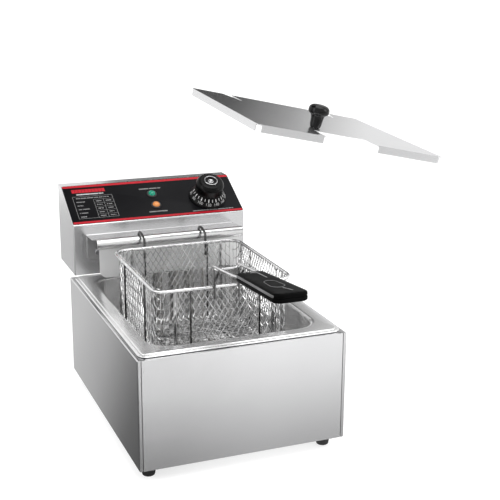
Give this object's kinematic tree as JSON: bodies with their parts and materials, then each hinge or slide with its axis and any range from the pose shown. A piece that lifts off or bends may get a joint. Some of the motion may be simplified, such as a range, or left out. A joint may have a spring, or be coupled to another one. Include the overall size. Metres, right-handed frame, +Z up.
{
  "type": "deep fryer",
  "caption": "Counter-top electric deep fryer with a lift-out tank and control head, a hung wire basket with a handle, and a loose lid.",
  "frame": {"origin": "on the table, below the middle of the housing", "axes": "+X to the user's right, +Y to the back, where the control head is, +Z up"},
  "size_m": [0.4163, 0.59, 0.4454],
  "materials": {
    "satin_steel": "satin, fine grain",
    "tank_steel": "deep-drawn, semi-bright",
    "plain_steel": "plain mill finish",
    "fasteners": "zinc plated",
    "element_alloy": "oxidised stainless",
    "brass_nuts": "plain",
    "copper_tube": "bare copper",
    "basket_wire": "nickel-chrome plated wire",
    "foot_rubber": "matt",
    "pad_silicone": "matt",
    "grip_black": "moulded phenolic, semi-matt",
    "knob_black": "moulded phenolic",
    "dial_black": "moulded, white scale",
    "cap_chrome": "bright",
    "overlay_black": "gloss film, red edge lines",
    "lens_green": "clear tinted",
    "lens_amber": "clear tinted",
    "inner_black": "moulded nylon",
    "button_red": "moulded",
    "ceramic_cream": "steatite and moulded thermoset",
    "lead_insulation": "silicone sleeve"
  },
  "bodies": {
    "housing": {"side_panel_left": "satin_steel", "side_panel_right": "satin_steel", "front_panel": "satin_steel", "rear_panel": "plain_steel", "bottom_plate": "plain_steel", "feet": "foot_rubber", "foot_screws": "fasteners", "foot_nuts": "fasteners", "tank_pads": "pad_silicone", "head_bracket": "plain_steel", "bracket_screws": "fasteners"},
    "tank": {"oil_tank": "tank_steel"},
    "head": {"head_shell": "satin_steel", "head_base": "plain_steel", "head_back_cover": "plain_steel", "cover_screws": "fasteners", "control_overlay": "overlay_black", "power_lamp": "lens_green", "heat_lamp": "lens_amber", "lamp_housings": "inner_black", "thermostat_body": "ceramic_cream", "sensor_capillaries": "copper_tube", "sensor_bulbs": "copper_tube", "limit_thermostat": "ceramic_cream", "reset_bezel": "inner_black", "terminal_block": "ceramic_cream", "interlock_switch": "inner_black", "internal_leads": "lead_insulation", "heating_element": "element_alloy", "element_flange": "plain_steel", "element_nuts": "brass_nuts", "element_tabs": "fasteners", "element_clips": "plain_steel", "basket_hanger": "satin_steel", "element_guard": "satin_steel", "hanger_screws": "fasteners", "cable_gland": "inner_black", "gland_nut": "inner_black"},
    "dial_knob": {"thermostat_shaft": "fasteners", "dial": "dial_black", "dial_cap": "cap_chrome"},
    "reset": {"reset_button": "button_red"},
    "basket": {"basket_mesh": "basket_wire", "basket_rim": "basket_wire", "basket_frame": "basket_wire", "basket_hooks": "basket_wire", "handle_wire": "basket_wire", "handle_brackets": "basket_wire", "grip_upper": "grip_black", "grip_lower": "grip_black", "grip_screws": "fasteners"},
    "lid": {"lid_plate": "satin_steel", "lid_knob": "knob_black", "knob_washer": "fasteners", "knob_screw": "fasteners"}
  },
  "joints": [
    {"name": "tank_lift", "type": "slide", "parent": "housing", "child": "tank", "axis": [0, 0, 1], "range_m": [0, 0.15]},
    {"name": "head_lift", "type": "slide", "parent": "tank", "child": "head", "axis": [0, 0, 1], "range_m": [0, 0.13]},
    {"name": "basket_lift", "type": "slide", "parent": "head", "child": "basket", "axis": [0, 0, 1], "range_m": [0, 0.12]},
    {"name": "lid_lift", "type": "slide", "parent": "tank", "child": "lid", "axis": [0, 0, 1], "range_m": [0, 0.13]},
    {"name": "dial_turn", "type": "hinge", "parent": "head", "child": "dial_knob", "pos_m": [0.0847, 0.19812, 0.26096], "axis": [0, 0.4881, -0.8728], "range_deg": [0, 300]},
    {"name": "reset_press", "type": "slide", "parent": "head", "child": "reset", "axis": [0, -1, 0], "range_m": [0, 0.002], "stiffness_N_per_m": 400}
  ]
}
